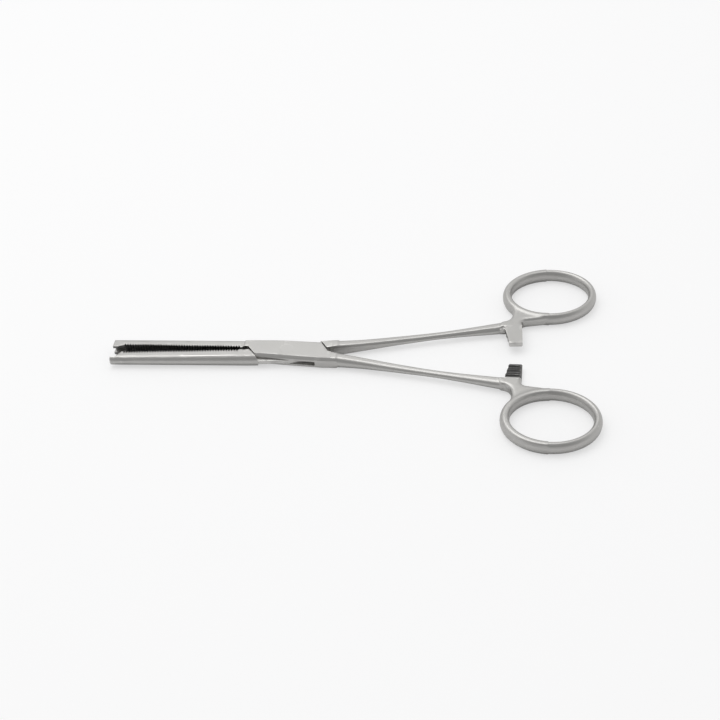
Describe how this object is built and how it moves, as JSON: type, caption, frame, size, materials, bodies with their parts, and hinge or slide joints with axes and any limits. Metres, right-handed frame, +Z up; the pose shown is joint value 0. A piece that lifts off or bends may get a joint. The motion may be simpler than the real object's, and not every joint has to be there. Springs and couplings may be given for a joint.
{
  "type": "haemostatic forceps",
  "caption": "Straight steel haemostatic forceps with a box lock, cross serrated jaws with teeth at the tips, ratchet bars and oval finger rings, lying flat and slightly open.",
  "frame": {"origin": "where the axis of the rivet meets the surface that the forceps lie on", "axes": "+Z up from that surface, +X from the lock towards the finger rings, +Y across the forceps towards the far ring"},
  "size_m": [0.1611, 0.0856, 0.0045],
  "materials": {
    "steel": "satin",
    "rivet_steel": "satin"
  },
  "bodies": {
    "box_half": {"box_half": "steel", "pivot_pin": "rivet_steel"},
    "tongue_half": {"tongue_half": "steel"}
  },
  "joints": [
    {"name": "box_lock", "type": "hinge", "parent": "box_half", "child": "tongue_half", "pos_m": [0, 0, 0], "axis": [0, 0, 1], "range_deg": [-3.2, 56.8]}
  ]
}
